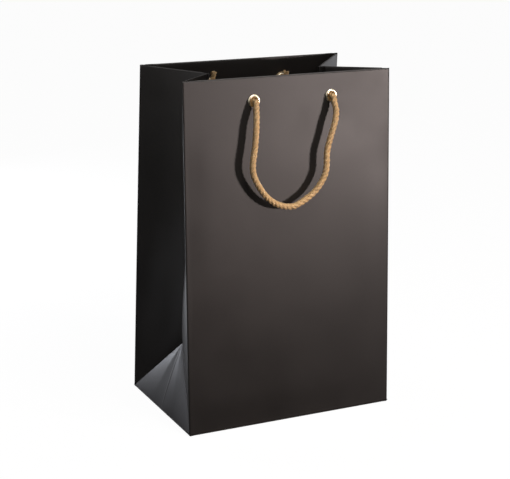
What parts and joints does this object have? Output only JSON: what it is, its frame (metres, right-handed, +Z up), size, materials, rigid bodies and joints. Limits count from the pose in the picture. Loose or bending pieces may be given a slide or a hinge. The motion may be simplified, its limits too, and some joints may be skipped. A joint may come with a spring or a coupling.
{
  "type": "gift bag",
  "caption": "Gusseted paper gift bag for bottles, with brass eyelets and knotted twisted cord handles; the mouth folds closed and the handles swing.",
  "frame": {"origin": "bottom centre of the base, on the surface the bag stands on", "axes": "+X right along the width, the front panel faces -Y, +Z up"},
  "size_m": [0.2192, 0.1448, 0.3394],
  "materials": {
    "black_paper": "satin laminated wrapping paper, near-black with a warm brown cast",
    "black_liner": "the same sheet's inner side, matt black",
    "greyboard": "uncoated grey board",
    "brass": "polished brass plate",
    "gold_cord": "twisted golden-brown rope, soft sheen"
  },
  "bodies": {
    "base": {"base_front_flap": "black_paper", "base_back_flap": "black_paper", "base_left_dust_flap": "black_paper", "base_right_dust_flap": "black_paper", "base_board": "greyboard"},
    "front_panel": {"front_panel": "black_paper", "front_hem": "black_liner", "front_top_board": "greyboard", "front_left_eyelet": "brass", "front_left_washer": "brass", "front_left_knot": "gold_cord", "front_right_eyelet": "brass", "front_right_washer": "brass", "front_right_knot": "gold_cord"},
    "front_handle": {"front_handle_cord": "gold_cord"},
    "left_front_gusset_side": {"left_front_gusset_side": "black_paper"},
    "left_front_gusset_inner": {"left_front_gusset_inner": "black_paper", "left_front_gusset_hem": "black_liner"},
    "right_front_gusset_side": {"right_front_gusset_side": "black_paper"},
    "right_front_gusset_inner": {"right_front_gusset_inner": "black_paper", "right_front_gusset_hem": "black_liner"},
    "back_panel": {"back_panel": "black_paper", "back_hem": "black_liner", "back_top_board": "greyboard", "back_left_eyelet": "brass", "back_left_washer": "brass", "back_left_knot": "gold_cord", "back_right_eyelet": "brass", "back_right_washer": "brass", "back_right_knot": "gold_cord", "side_seam_tab": "black_liner"},
    "back_handle": {"back_handle_cord": "gold_cord"},
    "left_back_gusset_side": {"left_back_gusset_side": "black_paper"},
    "left_back_gusset_inner": {"left_back_gusset_inner": "black_paper", "left_back_gusset_hem": "black_liner"},
    "right_back_gusset_side": {"right_back_gusset_side": "black_paper"},
    "right_back_gusset_inner": {"right_back_gusset_inner": "black_paper", "right_back_gusset_hem": "black_liner"},
    "left_gusset_triangle": {"left_gusset_triangle": "black_paper"},
    "right_gusset_triangle": {"right_gusset_triangle": "black_paper"}
  },
  "joints": [
    {"name": "mouth_close", "type": "hinge", "parent": "base", "child": "front_panel", "pos_m": [0, -0.072, 0], "axis": [-1, 0, 0], "range_deg": [-1, 6]},
    {"name": "back_panel_fold", "type": "hinge", "parent": "base", "child": "back_panel", "pos_m": [0, 0.072, 0], "axis": [1, 0, 0], "range_deg": [-1.05, 6.05]},
    {"name": "left_triangle_fold", "type": "hinge", "parent": "base", "child": "left_gusset_triangle", "pos_m": [-0.11, 0, 0], "axis": [0, 1, 0], "range_deg": [-2.25, 13.27]},
    {"name": "left_front_side_fold", "type": "hinge", "parent": "front_panel", "child": "left_front_gusset_side", "pos_m": [-0.11, -0.072, 0], "axis": [0, -0.0588, -0.9983], "range_deg": [-2.35, 13.85]},
    {"name": "left_front_inner_fold", "type": "hinge", "parent": "left_front_gusset_side", "child": "left_front_gusset_inner", "pos_m": [-0.086, 0, 0.06788], "axis": [0.0865, 0.1874, -0.9785], "range_deg": [-3.38, 20.04]},
    {"name": "left_back_side_fold", "type": "hinge", "parent": "back_panel", "child": "left_back_gusset_side", "pos_m": [-0.11, 0.072, 0], "axis": [0, -0.0588, 0.9983], "range_deg": [-2.35, 13.85]},
    {"name": "left_back_inner_fold", "type": "hinge", "parent": "left_back_gusset_side", "child": "left_back_gusset_inner", "pos_m": [-0.086, 0, 0.06788], "axis": [-0.0865, 0.1874, 0.9785], "range_deg": [-3.38, 20.04]},
    {"name": "right_triangle_fold", "type": "hinge", "parent": "base", "child": "right_gusset_triangle", "pos_m": [0.11, 0, 0], "axis": [0, -1, 0], "range_deg": [-2.25, 13.27]},
    {"name": "right_front_side_fold", "type": "hinge", "parent": "front_panel", "child": "right_front_gusset_side", "pos_m": [0.11, -0.072, 0], "axis": [0, 0.0588, 0.9983], "range_deg": [-2.35, 13.85]},
    {"name": "right_front_inner_fold", "type": "hinge", "parent": "right_front_gusset_side", "child": "right_front_gusset_inner", "pos_m": [0.086, 0, 0.06788], "axis": [0.0865, -0.1874, 0.9785], "range_deg": [-3.38, 20.04]},
    {"name": "right_back_side_fold", "type": "hinge", "parent": "back_panel", "child": "right_back_gusset_side", "pos_m": [0.11, 0.072, 0], "axis": [0, 0.0588, -0.9983], "range_deg": [-2.35, 13.85]},
    {"name": "right_back_inner_fold", "type": "hinge", "parent": "right_back_gusset_side", "child": "right_back_gusset_inner", "pos_m": [0.086, 0, 0.06788], "axis": [-0.0865, -0.1874, -0.9785], "range_deg": [-3.38, 20.04]},
    {"name": "front_handle_swing", "type": "hinge", "parent": "front_panel", "child": "front_handle", "pos_m": [0.0035, -0.0579, 0.31752], "axis": [-1, 0, 0], "range_deg": [0, 166]},
    {"name": "back_handle_swing", "type": "hinge", "parent": "back_panel", "child": "back_handle", "pos_m": [0.0035, 0.0579, 0.31752], "axis": [1, 0, 0], "range_deg": [0, 166]}
  ],
  "couplings": [
    {"joint": "back_panel_fold", "follows": "mouth_close", "ratio": 1},
    {"joint": "left_triangle_fold", "follows": "mouth_close", "ratio": 2.204},
    {"joint": "left_front_side_fold", "follows": "mouth_close", "ratio": 2.3},
    {"joint": "left_front_inner_fold", "follows": "mouth_close", "ratio": 3.332},
    {"joint": "left_back_side_fold", "follows": "mouth_close", "ratio": 2.3},
    {"joint": "left_back_inner_fold", "follows": "mouth_close", "ratio": 3.332},
    {"joint": "right_triangle_fold", "follows": "mouth_close", "ratio": 2.204},
    {"joint": "right_front_side_fold", "follows": "mouth_close", "ratio": 2.3},
    {"joint": "right_front_inner_fold", "follows": "mouth_close", "ratio": 3.332},
    {"joint": "right_back_side_fold", "follows": "mouth_close", "ratio": 2.3},
    {"joint": "right_back_inner_fold", "follows": "mouth_close", "ratio": 3.332}
  ]
}
